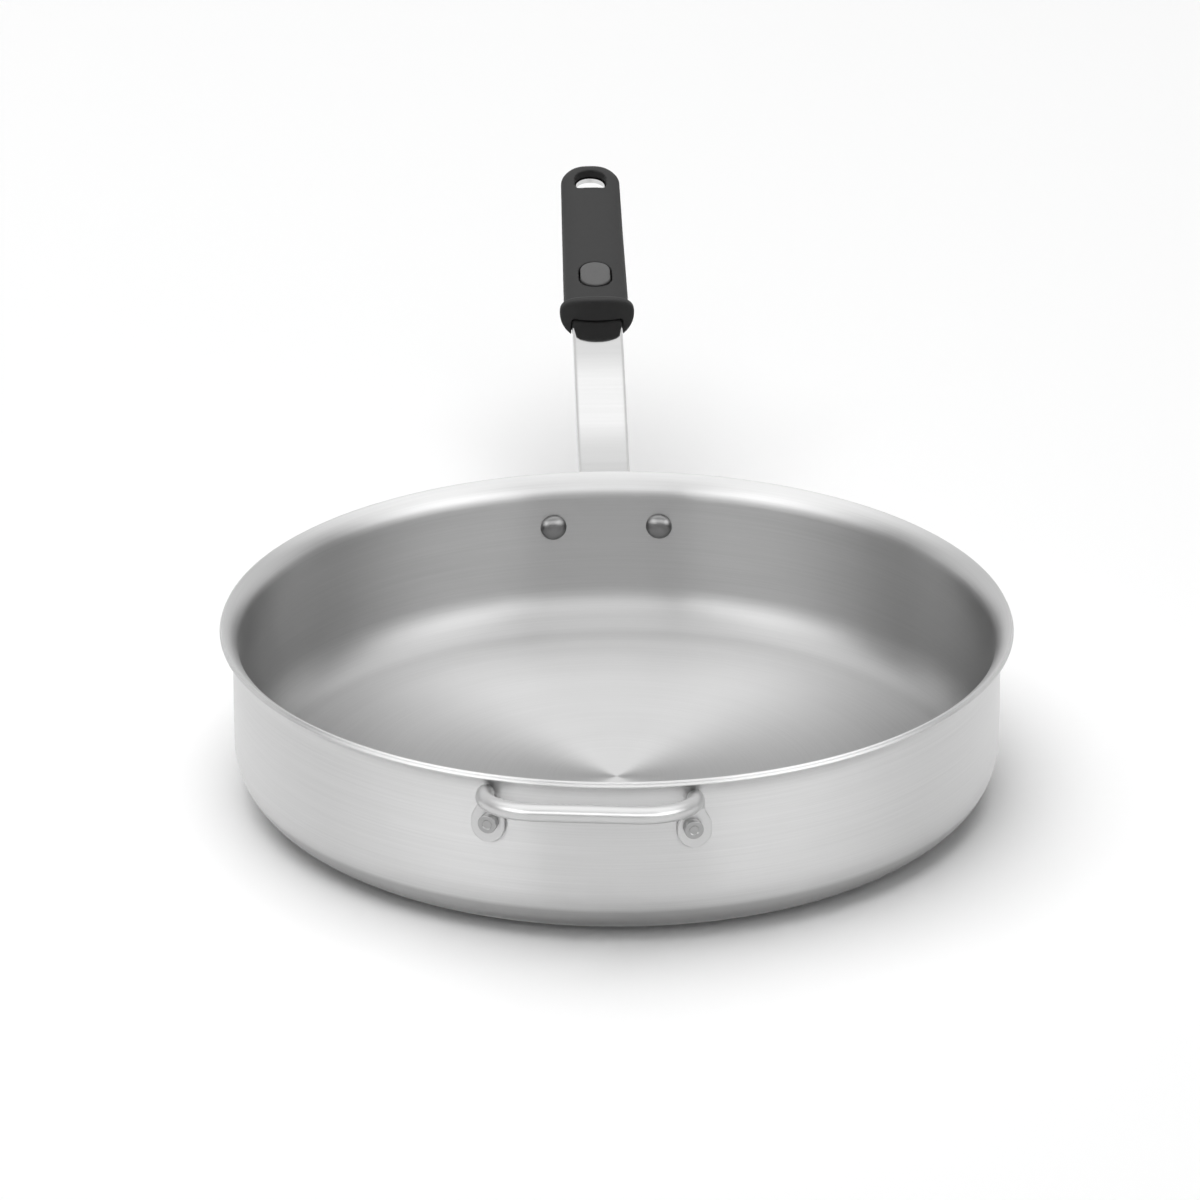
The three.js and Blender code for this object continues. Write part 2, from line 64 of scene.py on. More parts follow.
def arc(x, y, radius, start, end, steps):
    """Points along an arc, its ends in degrees."""
    turns = np.radians(np.linspace(start, end, steps + 1))
    return [(x + radius * math.cos(t), y + radius * math.sin(t)) for t in turns]


def mesh_piece(name, points, faces):
    """An object at the origin with this mesh."""
    mesh = bpy.data.meshes.new(name)
    mesh.from_pydata([tuple(p) for p in points], [], faces)
    mesh.validate()
    piece = bpy.data.objects.new(name, mesh)
    bpy.context.scene.collection.objects.link(piece)
    return piece


def turned(name, profile, segments):
    """A solid turned about +Z from (radius, height) points that start and end on the axis."""
    turns = np.linspace(0, 2 * math.pi, segments, endpoint=False)
    points = [(0, 0, profile[0][1]), (0, 0, profile[-1][1])]
    for radius, height in profile[1:-1]:
        points += [(radius * math.cos(t), radius * math.sin(t), height) for t in turns]
    rings = len(profile) - 2
    last = 2 + (rings - 1) * segments
    faces = []
    for j in range(segments):
        k = (j + 1) % segments
        faces.append((0, 2 + k, 2 + j))
        faces.append((1, last + j, last + k))
        for i in range(rings - 1):
            a = 2 + i * segments
            b = a + segments
            faces.append((a + j, a + k, b + k, b + j))
    return mesh_piece(name, points, faces)


def bake(piece):
    """Turns the piece's modifiers into its mesh."""
    depsgraph = bpy.context.evaluated_depsgraph_get()
    mesh = bpy.data.meshes.new_from_object(piece.evaluated_get(depsgraph))
    piece.modifiers.clear()
    piece.data = mesh


def cut(piece, *cutters):
    """Takes the cutters' volumes out of the piece."""
    for cutter in cutters:
        modifier = piece.modifiers.new("cut", "BOOLEAN")
        modifier.operation = "DIFFERENCE"
        modifier.solver = "EXACT"
        modifier.object = cutter
    bake(piece)
    for cutter in cutters:
        bpy.data.objects.remove(cutter)


def smooth(piece, angle):
    """Shades the piece smooth, with edges sharper than the angle left hard."""
    piece.data.shade_smooth()
    piece.data.set_sharp_from_angle(angle=math.radians(angle))


def lip_edge():
    """The trimmed edge of the lip: rounded corners and a faint groove along the softer core."""
    sweep = math.radians(lip_sweep)
    outward = np.array([math.sin(sweep), math.cos(sweep)])
    across = np.array([-math.cos(sweep), math.sin(sweep)])
    centre = np.array([wall_radius - sheet + lip_radius, pan_height - lip_radius * math.sin(sweep)])
    foot = centre + across * (lip_radius - sheet)
    points = []
    for t in np.linspace(0, sheet, 25):
        near = min(t, sheet - t, trim_round)
        corner = trim_round - math.sqrt(trim_round**2 - (trim_round - near) ** 2)
        groove = core_groove * math.exp(-(((t - sheet / 2) / core_spread) ** 2))
        points.append(tuple(foot + across * t - outward * (corner + groove)))
    return points


def body_profile():
    """Outline of half the body, from under the floor's centre round the lip to the floor's top."""
    corner = (wall_radius - corner_radius, corner_radius)
    lip = (wall_radius - sheet + lip_radius, pan_height - lip_radius * math.sin(math.radians(lip_sweep)))
    under_end = 180 - lip_sweep + math.degrees(trim_round / (lip_radius - sheet))
    over_end = 180 - lip_sweep + math.degrees(trim_round / lip_radius)
    wall = np.linspace(corner[1], lip[1], 7)[1:-1]
    radii = [0.01, 0.04, 0.08, 0.11]
    return [
        (0, 0),
        *[(r, 0) for r in radii],
        *arc(*corner, corner_radius, -90, 0, 24),
        *[(wall_radius, z) for z in wall],
        *arc(*lip, lip_radius - sheet, 180, under_end, 14),
        *lip_edge()[1:-1],
        *arc(*lip, lip_radius, over_end, 180, 20),
        *[(wall_radius - sheet, z) for z in wall[::-1]],
        *arc(*corner, corner_radius - sheet, 0, -90, 24),
        *[(r, sheet) for r in radii[::-1]],
        (0, sheet),
    ]


handle_rivet_half = 0.02355
handle_rivet_height = 0.052
handle_bearing = math.degrees(math.asin(handle_rivet_half / wall_radius))
helper_off_line = 5.4
helper_rivet_half = 0.0403
helper_rivet_height = 0.0532
helper_bearing = 180 + helper_off_line
helper_spread = math.degrees(math.asin(helper_rivet_half / wall_radius))
bore_radius = 0.0033
bore_ends = (0.15, 0.17)
rivet_places = [
    (-handle_bearing, handle_rivet_height),
    (handle_bearing, handle_rivet_height),
    (helper_bearing - helper_spread, helper_rivet_height),
    (helper_bearing + helper_spread, helper_rivet_height),
]


def rivet_bores(places):
    """Cylinders along the wall's radius, their bearings in degrees from +Y towards +X."""
    near, far = bore_ends
    bores = []
    for bearing, height in places:
        bore = turned("bore", [(0, near), (bore_radius, near), (bore_radius, far), (0, far)], 32)
        lay = Matrix.Rotation(-math.radians(bearing), 4, "Z") @ Matrix.Rotation(-math.pi / 2, 4, "X")
        bore.data.transform(Matrix.Translation((0, 0, height)) @ lay)
        bores.append(bore)
    return bores


body = turned("pan_shell", body_profile(), 320)
cut(body, *rivet_bores(rivet_places))
smooth(body, 40)


def brushed_lines():
    """Shader group: fine drawn lines across the third axis of its vector, with slow patches along them."""
    tree = bpy.data.node_groups.new("brushed_lines", "ShaderNodeTree")
    given = {"Vector": "Vector", "Dark": "Color", "Light": "Color", "Smooth": "Float", "Rough": "Float"}
    made = {"Color": "Color", "Roughness": "Float", "Height": "Float"}
    for side, sockets in (("INPUT", given), ("OUTPUT", made)):
        for name, kind in sockets.items():
            tree.interface.new_socket(name=name, in_out=side, socket_type="NodeSocket" + kind)
    entry = tree.nodes.new("NodeGroupInput")
    result = tree.nodes.new("NodeGroupOutput")
    lines = tree.nodes.new("ShaderNodeTexNoise")
    lines.inputs["Scale"].default_value = 1
    lines.inputs["Detail"].default_value = 3
    lines.inputs["Roughness"].default_value = 0.65
    slow = tree.nodes.new("ShaderNodeVectorMath")
    slow.operation = "MULTIPLY"
    slow.inputs[1].default_value = (0.7, 0.7, 0.025)
    patches = tree.nodes.new("ShaderNodeTexNoise")
    patches.inputs["Scale"].default_value = 1
    patches.inputs["Detail"].default_value = 2
    both = tree.nodes.new("ShaderNodeMix")
    both.data_type = "FLOAT"
    both.inputs["Factor"].default_value = 0.35
    tint = tree.nodes.new("ShaderNodeMix")
    tint.data_type = "RGBA"
    sheen = tree.nodes.new("ShaderNodeMapRange")
    link = tree.links.new
    link(entry.outputs["Vector"], lines.inputs["Vector"])
    link(entry.outputs["Vector"], slow.inputs[0])
    link(slow.outputs[0], patches.inputs["Vector"])
    link(lines.outputs["Fac"], both.inputs["A"])
    link(patches.outputs["Fac"], both.inputs["B"])
    link(both.outputs["Result"], tint.inputs["Factor"])
    link(entry.outputs["Dark"], tint.inputs["A"])
    link(entry.outputs["Light"], tint.inputs["B"])
    link(both.outputs["Result"], sheen.inputs["Value"])
    sheen.inputs["From Min"].default_value = 0.25
    sheen.inputs["From Max"].default_value = 0.75
    link(entry.outputs["Smooth"], sheen.inputs["To Min"])
    link(entry.outputs["Rough"], sheen.inputs["To Max"])
    link(tint.outputs["Result"], result.inputs["Color"])
    link(sheen.outputs["Result"], result.inputs["Roughness"])
    link(lines.outputs["Fac"], result.inputs["Height"])
    return tree


drawn_lines = brushed_lines()


def grey(value):
    """A neutral colour."""
    return (value, value, value, 1)


def brushed_steel(name, dark, light, polish, coarse, anisotropy, bump):
    """Bare steel with drawn lines: the material, and the group's vector socket, still to be linked."""
    material = bpy.data.materials.new(name)
    material.use_nodes = True
    nodes = material.node_tree.nodes
    link = material.node_tree.links.new
    shader = nodes["Principled BSDF"]
    shader.inputs["Metallic"].default_value = 1
    shader.inputs["Anisotropic"].default_value = anisotropy
    shader.inputs["Anisotropic Rotation"].default_value = 0.25
    lines = nodes.new("ShaderNodeGroup")
    lines.node_tree = drawn_lines
    lines.inputs["Dark"].default_value = grey(dark)
    lines.inputs["Light"].default_value = grey(light)
    lines.inputs["Smooth"].default_value = polish
    lines.inputs["Rough"].default_value = coarse
    relief = nodes.new("ShaderNodeBump")
    relief.inputs["Strength"].default_value = bump
    relief.inputs["Distance"].default_value = 0.00002
    link(lines.outputs["Color"], shader.inputs["Base Color"])
    link(lines.outputs["Roughness"], shader.inputs["Roughness"])
    link(lines.outputs["Height"], relief.inputs["Height"])
    link(relief.outputs["Normal"], shader.inputs["Normal"])
    return material, lines.inputs["Vector"]


def feed(link, socket, value):
    """Gives a node's input a link from a socket, or a constant."""
    if isinstance(value, bpy.types.NodeSocket):
        link(value, socket)
    else:
        socket.default_value = value


def maths(nodes, link, operation, *values):
    """The result of a Math node on sockets and constants."""
    node = nodes.new("ShaderNodeMath")
    node.operation = operation
    for socket, value in zip(node.inputs, values):
        feed(link, socket, value)
    return node.outputs[0]


def from_axis(nodes, link):
    """The place on a piece along each axis, and its distance from the pan's axis."""
    place = nodes.new("ShaderNodeTexCoord")
    parts = nodes.new("ShaderNodeSeparateXYZ")
    flat = nodes.new("ShaderNodeVectorMath")
    flat.operation = "MULTIPLY"
    flat.inputs[1].default_value = (1, 1, 0)
    radius = nodes.new("ShaderNodeVectorMath")
    radius.operation = "LENGTH"
    link(place.outputs["Object"], parts.inputs[0])
    link(place.outputs["Object"], flat.inputs[0])
    link(flat.outputs[0], radius.inputs[0])
    return parts.outputs, radius.outputs["Value"]


def brush_round(material, vector, along, across):
    """Lays the drawn lines round the pan's axis, on wall and floor alike."""
    nodes = material.node_tree.nodes
    link = material.node_tree.links.new
    parts, radius = from_axis(nodes, link)
    joined = nodes.new("ShaderNodeCombineXYZ")
    scale = nodes.new("ShaderNodeVectorMath")
    scale.operation = "MULTIPLY"
    scale.inputs[1].default_value = (along, along, across)
    round_axis = nodes.new("ShaderNodeTangent")
    round_axis.direction_type = "RADIAL"
    round_axis.axis = "Z"
    link(parts["X"], joined.inputs["X"])
    link(parts["Y"], joined.inputs["Y"])
    link(maths(nodes, link, "ADD", radius, parts["Z"]), joined.inputs["Z"])
    link(joined.outputs[0], scale.inputs[0])
    link(scale.outputs[0], vector)
    link(round_axis.outputs[0], nodes["Principled BSDF"].inputs["Tangent"])


def zone(nodes, link, source, start, end, low=0, high=1):
    """A smooth change from one value to another as the source goes from start to end."""
    step = nodes.new("ShaderNodeMapRange")
    step.interpolation_type = "SMOOTHSTEP"
    step.inputs["From Min"].default_value = start
    step.inputs["From Max"].default_value = end
    step.inputs["To Min"].default_value = low
    step.inputs["To Max"].default_value = high
    link(source, step.inputs["Value"])
    return step.outputs["Result"]


def inside_pan(material, edge):
    """Two masks over the pan's axis: what stands inside the wall, and of that what is above the floor."""
    nodes = material.node_tree.nodes
    link = material.node_tree.links.new
    parts, radius = from_axis(nodes, link)
    wall_face = wall_radius - sheet
    inside = zone(nodes, link, radius, wall_face, wall_face + edge, low=1, high=0)
    return inside, zone(nodes, link, parts["Z"], sheet, floor_fade)


def blended(nodes, link, factor, first, second):
    """A number between two others, each a socket or a constant."""
    mixed = nodes.new("ShaderNodeMix")
    for name, value in (("Factor", factor), ("A", first), ("B", second)):
        feed(link, mixed.inputs[name], value)
    return mixed.outputs["Result"]


def cooking_face(material, floor, wall):
    """Factors of the roughness inside the pan: coarse lines on the turned floor, finer ones on the wall."""
    nodes = material.node_tree.nodes
    link = material.node_tree.links.new
    shader = nodes["Principled BSDF"]
    inside, raised = inside_pan(material, sheet / 2)
    grade = blended(nodes, link, inside, 1, blended(nodes, link, raised, floor, wall))
    drawn = shader.inputs["Roughness"].links[0].from_socket
    link(maths(nodes, link, "MULTIPLY", drawn, grade), shader.inputs["Roughness"])


def painted_shade_inside(material, edge, tone):
    """Painted shade: a darker steel colour on what stands inside the pan, above its floor."""
    nodes = material.node_tree.nodes
    link = material.node_tree.links.new
    shader = nodes["Principled BSDF"]
    inside, raised = inside_pan(material, edge)
    painted_shade_tint = nodes.new("ShaderNodeMix")
    painted_shade_tint.data_type = "RGBA"
    painted_shade_tint.blend_type = "MULTIPLY"
    painted_shade_tint.inputs["B"].default_value = grey(tone)
    link(blended(nodes, link, inside, 0, raised), painted_shade_tint.inputs["Factor"])
    link(shader.inputs["Base Color"].links[0].from_socket, painted_shade_tint.inputs["A"])
    link(painted_shade_tint.outputs["Result"], shader.inputs["Base Color"])


clad_steel, clad_vector = brushed_steel(
    "clad_steel_brushed", dark=0.52, light=0.7, polish=0.3, coarse=0.4, anisotropy=0.9, bump=0.25
)
brush_round(clad_steel, clad_vector, along=12, across=1300)
cooking_face(clad_steel, floor=1.5, wall=0.96)
# Painted shade: the steel's colour is darkened inside the pan, above the floor.
painted_shade_inside(clad_steel, edge=sheet / 2, tone=0.74)
body.data.materials.append(clad_steel)
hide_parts("pan_body")
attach(body, "pan")


# Long handle: one stamping of steel strip. A plate curved to the wall takes the rivets, bends out at its
# top and narrows to a strap with turned-down edges, which is slotted for the lock button and holed at its
# end for hanging.
seat_gap = 0.0003
strip = 0.0022
strap_half = 0.0114
plate_half = 0.035
plate_corner = 0.009
plate_below = 0.009
plate_above = 0.0066
plate_foot = handle_rivet_height - plate_below
plate_flat = plate_below + plate_above
root_slope = 7
root_bend = 0.008
root_run = 0.044
riser_slope = 15
riser_bend = 0.260
riser_run = 0.064
neck_bend = 0.300
neck_run = 0.036
edge_depth = 0.0068
edge_least = 0.00005
edge_bend = 0.0016
flare_run = 0.024
edge_run = 0.026
grip_slope = 10
grip_length = 0.1356
strap_end_gap = 0.0042
strap_in_grip = grip_length - strap_end_gap
hang_from_end = 0.0151
hang_size = (0.0145, 0.016)
hang_corner = 0.0026
hang_rim = 0.0006
tail_taper = 0.060
tail_edge = 0.005


def unit(vector):
    return vector / np.linalg.norm(vector)


def bent_route(corners):
    """Runs joined by bends at (point, radius) corners: the length, and the place and heading along it."""
    runs = []
    start = np.array(corners[0][0], float)
    for (at, bend), (after, _) in zip(corners[1:-1], corners[2:]):
        along = unit(np.array(at) - start)
        onward = unit(np.array(after) - np.array(at))
        side = unit(onward - along * onward.dot(along))
        angle = math.acos(along.dot(onward))
        bend_start = np.array(at) - along * bend * math.tan(angle / 2)
        runs.append((np.linalg.norm(bend_start - start), start, along, side, 0))
        runs.append((bend * angle, bend_start, along, side, bend))
        start = bend_start + along * bend * math.sin(angle) + side * bend * (1 - math.cos(angle))
    end = np.array(corners[-1][0])
    runs.append((np.linalg.norm(end - start), start, unit(end - start), None, 0))

    def place(s):
        for length, origin, along, side, bend in runs[:-1]:
            if s <= length:
                break
            s -= length
        else:
            length, origin, along, side, bend = runs[-1]
        if not bend:
            return origin + along * s, along
        turn = s / bend
        point = origin + along * bend * math.sin(turn) + side * bend * (1 - math.cos(turn))
        return point, along * math.cos(turn) + side * math.sin(turn)

    return sum(run[0] for run in runs), place


def ease(value, start, end):
    """0 before start, 1 after end, and a smooth rise between."""
    t = min(max((value - start) / (end - start), 0), 1)
    return t * t * (3 - 2 * t)


def mix(a, b, share):
    return a + (b - a) * share


def slope(degrees, length):
    turn = math.radians(degrees)
    return np.array([0, length * math.cos(turn), length * math.sin(turn)])


def loft(name, rings):
    """A closed skin over rings of equal, even point count."""
    count = len(rings[0])
    last = (len(rings) - 1) * count
    faces = []
    for ring in range(len(rings) - 1):
        for j in range(count):
            a = ring * count + j
            b = ring * count + (j + 1) % count
            faces.append((a, b, b + count, a + count))
    for j in range(count // 2 - 1):
        faces.append((j, count - 1 - j, count - 2 - j, j + 1))
        faces.append((last + j, last + j + 1, last + count - 2 - j, last + count - 1 - j))
    piece = mesh_piece(name, np.concatenate(rings), faces)
    shape = bmesh.new()
    shape.from_mesh(piece.data)
    bmesh.ops.recalc_face_normals(shape, faces=shape.faces)
    shape.to_mesh(piece.data)
    shape.free()
    return piece


root_turn = math.radians(90 - root_slope)
root_height = plate_foot + plate_flat + root_bend * math.tan(root_turn / 2)
root = np.array([0, wall_radius + seat_gap, root_height])
riser = root + slope(root_slope, root_run)
neck = riser + slope(riser_slope, riser_run)
collar = neck + slope(grip_slope, neck_run)
strap_length, strap_place = bent_route(
    [
        (np.array([0, root[1], plate_foot]), 0),
        (root, root_bend),
        (riser, riser_bend),
        (neck, neck_bend),
        (collar + slope(grip_slope, strap_in_grip), 0),
    ]
)
collar_station = strap_length - strap_in_grip
bend_end = plate_flat + root_bend * root_turn
flare_end = plate_flat + flare_run
round_start = strap_length - strap_half
edge_end = collar_station + grip_length - hang_from_end - hang_size[1] / 2 - tail_edge


def strap_width(s):
    """Half the stamping's width at a length along it."""
    if s < plate_corner:
        return plate_half - plate_corner + math.sqrt(plate_corner**2 - (plate_corner - s) ** 2)
    if s > round_start:
        return math.sqrt(strap_half**2 - (s - round_start) ** 2)
    return mix(plate_half, strap_half, ease(s, plate_flat, flare_end))


def strap_edge(s):
    """Depth of the turned-down edges at a length along the stamping."""
    grown = ease(s, flare_end - edge_run / 4, flare_end + edge_run)
    return edge_least + edge_depth * grown * (1 - ease(s, edge_end - tail_taper / 2, edge_end))


def edge_round(half, depth):
    """Outer radius of the turned edges."""
    return min(edge_bend, strip / 3 + depth / 2, half / 2)


def strap_outline(half, depth):
    """Section of the stamping: the top face and turned edges, then the underside."""
    bend = edge_round(half, depth)
    inside = half - min(strip, half / 2)
    fillet = min(strip / 2, depth / 2)
    low = -strip - depth
    left = arc(bend - half, -bend, bend, 180, 90, 8)
    top = [(share * (half - bend), 0) for share in np.linspace(-1, 1, 13)[1:-1]]
    right = [(-x, n) for x, n in left[::-1]]
    under = [(share * (inside - fillet), -strip) for share in np.linspace(1, -1, 27)]
    return [
        (-half, low), *left, *top, *right, (half, low),
        (inside, low), (inside, -strip - fillet), *under, (-inside, -strip - fillet), (-inside, low),
    ]


def strap_ring(s):
    at, along = strap_place(s)
    wrap = 1 - ease(s, bend_end, flare_end)
    radius = wall_radius + seat_gap
    ring = []
    for x, n in strap_outline(strap_width(s), strap_edge(s)):
        sag = wrap * (radius - math.sqrt(radius**2 - x**2))
        ring.append((x, at[1] - n * along[2] - sag, at[2] + n * along[1]))
    return np.array(ring)


strap_stations = np.concatenate(
    [
        plate_corner * np.linspace(0, 1, 10) ** 2,
        np.linspace(plate_flat, bend_end, 18),
        np.linspace(bend_end, flare_end, 14)[1:],
        np.linspace(flare_end, collar_station, 60)[1:],
        np.linspace(edge_end - tail_taper / 2, edge_end, 12),
        round_start + strap_half * np.sin(np.radians(np.linspace(0, 80, 12))),
    ]
)
grip_frame = Matrix.Translation(Vector(collar)) @ Matrix.Rotation(math.radians(grip_slope), 4, "X")


def obround(half, straight):
    """Outline of a slot with round ends, its length along Y."""
    outline = []
    for t in np.radians(np.arange(72) * 5 + 2.5):
        end = math.copysign(straight / 2, math.sin(t))
        outline.append((half * math.cos(t), half * math.sin(t) + end))
    return outline


def hang_outline(margin):
    """Outline of the hanging hole: round towards the tail, straight across at the front."""
    radius = hang_size[0] / 2 + margin
    corner = hang_corner + margin
    tail = hang_size[1] / 2 + margin - radius
    front = corner - hang_size[1] / 2 - margin
    return [
        *arc(0, tail, radius, 0, 180, 39),
        *arc(corner - radius, front, corner, 180, 270, 11),
        *arc(radius - corner, front, corner, 270, 360, 11),
    ]


def stack(name, layers, middle):
    """A solid through (outline, height) layers, laid out in the grip's frame at a distance along it."""
    rings = []
    for outline, height in layers:
        rings.append(np.array([grip_frame @ Vector((x, y + middle, height)) for x, y in outline]))
    return loft(name, rings)


def prism(name, outline, low, high, middle):
    """A straight cutter of one outline, square to the strap."""
    return stack(name, [(outline, low), (outline, high)], middle)


button_middle = 0.033
button_half = 0.0068
button_straight = 0.007
hang_middle = grip_length - hang_from_end
spring_rivet_at = button_middle + 0.030
cut_low = -0.009
cut_high = 0.002
hole_low = -0.004
hole_high = 0.001
hole_radius = 0.00165
sink_radius = 0.00275
sink_top = -0.00015
sink_foot = -0.00125

strap = loft("strap_handle", [strap_ring(s) for s in strap_stations])
slot_outline = obround(button_half + seat_gap, button_straight)
button_slot = prism("slot", slot_outline, cut_low, cut_high, button_middle)
hang_slot = prism("hang", hang_outline(-hang_rim), cut_low, cut_high, hang_middle)
sunk_hole = [
    (0, hole_low), (hole_radius, hole_low), (hole_radius, sink_foot),
    (sink_radius, sink_top), (sink_radius, hole_high), (0, hole_high),
]
spring_hole = turned("hole", sunk_hole, 32)
spring_hole.data.transform(grip_frame @ Matrix.Translation((0, spring_rivet_at, 0)))
cut(strap, button_slot, hang_slot, spring_hole, *rivet_bores(rivet_places[:2]))
smooth(strap, 35)


def lay_lines(material, vector, scale, rotation=(0, 0, 0)):
    """Lays the drawn lines straight over a piece."""
    nodes = material.node_tree.nodes
    link = material.node_tree.links.new
    place = nodes.new("ShaderNodeTexCoord")
    lines = nodes.new("ShaderNodeMapping")
    lines.inputs["Rotation"].default_value = rotation
    lines.inputs["Scale"].default_value = scale
    link(place.outputs["Object"], lines.inputs["Vector"])
    link(lines.outputs["Vector"], vector)


strap_steel, strap_vector = brushed_steel(
    "strap_steel_bright", dark=0.6, light=0.67, polish=0.05, coarse=0.08, anisotropy=0, bump=0.05
)
lay_lines(strap_steel, strap_vector, (16, 16, 2400), (0, math.pi / 2, 0))
strap.data.materials.append(strap_steel)
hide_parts("handle_strap")
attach(strap, "pan")


# Rivets: steel, set along the wall's radius, with satin domes inside the pan. The long handle's are upset
# into flat heads on the plate, and the helper handle's stand out of its tabs as plain studs with a turned
# edge.
cad_facets = 72
wall_seat = (wall_radius - sheet) * math.cos(math.pi / cad_facets) - seat_gap / 2
shank = 0.003
dome_radius = 0.00575
dome_height = 0.0032


def rivet_profile(seat, radius, height, bevel, dimple):
    """Outline from the dome inside the pan to the head outside, heights being distances from its axis."""
    dome = [
        (dome_radius * math.cos(math.radians(t)), wall_seat - dome_height * math.sin(math.radians(t)))
        for t in np.linspace(84, 0, 15)
    ]
    top = seat + height
    dimple_rim = radius * 0.55
    dimple_floor = radius * 0.45
    return [
        (0, wall_seat - dome_height), *dome, (shank, wall_seat), (shank, seat), (radius - bevel / 2, seat),
        (radius, seat + bevel / 2), *arc(radius - bevel, top - bevel, bevel, 0, 90, 5),
        (dimple_rim, top), (dimple_floor, top - dimple), (0, top - dimple),
    ]


def rivet_pair_tree():
    """Geometry Nodes: two copies of a rivet, set on the wall's radius either side of a bearing."""
    tree = bpy.data.node_groups.new("rivet_pair", "GeometryNodeTree")
    socket = tree.interface.new_socket
    given = {
        "Rivet": "Object",
        "Bearing": "Float",
        "Spread": "Float",
        "Height": "Float",
        "Material": "Material",
    }
    inputs = {}
    for name, kind in given.items():
        inputs[name] = socket(name=name, in_out="INPUT", socket_type="NodeSocket" + kind).identifier
    socket(name="Geometry", in_out="OUTPUT", socket_type="NodeSocketGeometry")
    add = tree.nodes.new
    link = tree.links.new
    entry = add("NodeGroupInput")
    result = add("NodeGroupOutput")
    points = add("GeometryNodePoints")
    points.inputs["Count"].default_value = 2
    lift = add("ShaderNodeCombineXYZ")
    index = add("GeometryNodeInputIndex")
    side = maths(tree.nodes, link, "MULTIPLY_ADD", index.outputs[0], 2, -1)
    turn = maths(tree.nodes, link, "MULTIPLY_ADD", side, entry.outputs["Spread"], entry.outputs["Bearing"])
    heading = add("ShaderNodeCombineXYZ")
    rivet = add("GeometryNodeObjectInfo")
    spread = add("GeometryNodeInstanceOnPoints")
    real = add("GeometryNodeRealizeInstances")
    finish = add("GeometryNodeSetMaterial")
    link(entry.outputs["Height"], lift.inputs["Z"])
    link(lift.outputs[0], points.inputs["Position"])
    link(maths(tree.nodes, link, "MULTIPLY", turn, -1), heading.inputs["Z"])
    link(entry.outputs["Rivet"], rivet.inputs["Object"])
    link(points.outputs[0], spread.inputs["Points"])
    link(rivet.outputs["Geometry"], spread.inputs["Instance"])
    link(heading.outputs[0], spread.inputs["Rotation"])
    link(spread.outputs[0], real.inputs[0])
    link(real.outputs[0], finish.inputs["Geometry"])
    link(entry.outputs["Material"], finish.inputs["Material"])
    link(finish.outputs[0], result.inputs[0])
    return tree, inputs


rivet_tree, rivet_inputs = rivet_pair_tree()


def rivet_pair(name, profile, bearing, spread, height, material):
    """Two rivets turned from a profile, as one plain mesh."""
    pattern = turned("pattern", profile, 48)
    pattern.data.transform(Matrix.Rotation(-math.pi / 2, 4, "X"))
    pair = mesh_piece(name, [(0, 0, 0)], [])
    modifier = pair.modifiers.new("rivets", "NODES")
    modifier.node_group = rivet_tree
    settings = {
        "Rivet": pattern,
        "Bearing": math.radians(bearing),
        "Spread": math.radians(spread),
        "Height": height,
        "Material": material,
    }
    for key, value in settings.items():
        modifier[rivet_inputs[key]] = value
    bake(pair)
    bpy.data.objects.remove(pattern)
    smooth(pair, 35)
    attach(pair, "pan")
    return pair


rivet_steel, rivet_vector = brushed_steel(
    "rivet_steel_satin", dark=0.32, light=0.4, polish=0.27, coarse=0.35, anisotropy=0, bump=0.05
)
lay_lines(rivet_steel, rivet_vector, (500, 500, 500))
# Painted shade: the rivets' domes inside the pan get a darker steel colour than the studs outside.
painted_shade_inside(rivet_steel, edge=0.0015, tone=0.66)

plate_seat = wall_radius + seat_gap + strip + seat_gap / 2
plate_profile = rivet_profile(plate_seat, radius=0.0048, height=0.0024, bevel=0.0006, dimple=0.0002)
handle_rivets = rivet_pair(
    "handle_rivets", plate_profile, 0, handle_bearing, handle_rivet_height, rivet_steel
)
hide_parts("handle_rivet_left", "handle_rivet_right")


# Helper handle: one length of round steel rod, its ends pressed flat into round-ended tabs. The tabs lie
# on the wall, each held by one rivet, and the rod bends out over them and across, a little off the long
# handle's line.
rod = 0.0036
tab_half = 0.0071
tab_thick = 0.0026
tab_power = 6
tab_below = 0.0094
tab_shift = 0.001
tab_rise = 0.0078
tab_shoulder = 0.0017
leg_slope = 8.9
leg_bend = 0.005
bar_bend = 0.023
bar_reach = 0.0285


def rounded_section(count, half, up, down, power):
    """A rounded outline: half width, heights above and below its widest line, and squareness."""
    outline = []
    for t in (np.arange(count) + 0.5) * 2 * math.pi / count:
        across = math.copysign(abs(math.cos(t)) ** (2 / power), math.cos(t))
        rise = math.copysign(abs(math.sin(t)) ** (2 / power), math.sin(t))
        outline.append((half * across, (up if rise > 0 else down) * rise))
    return outline


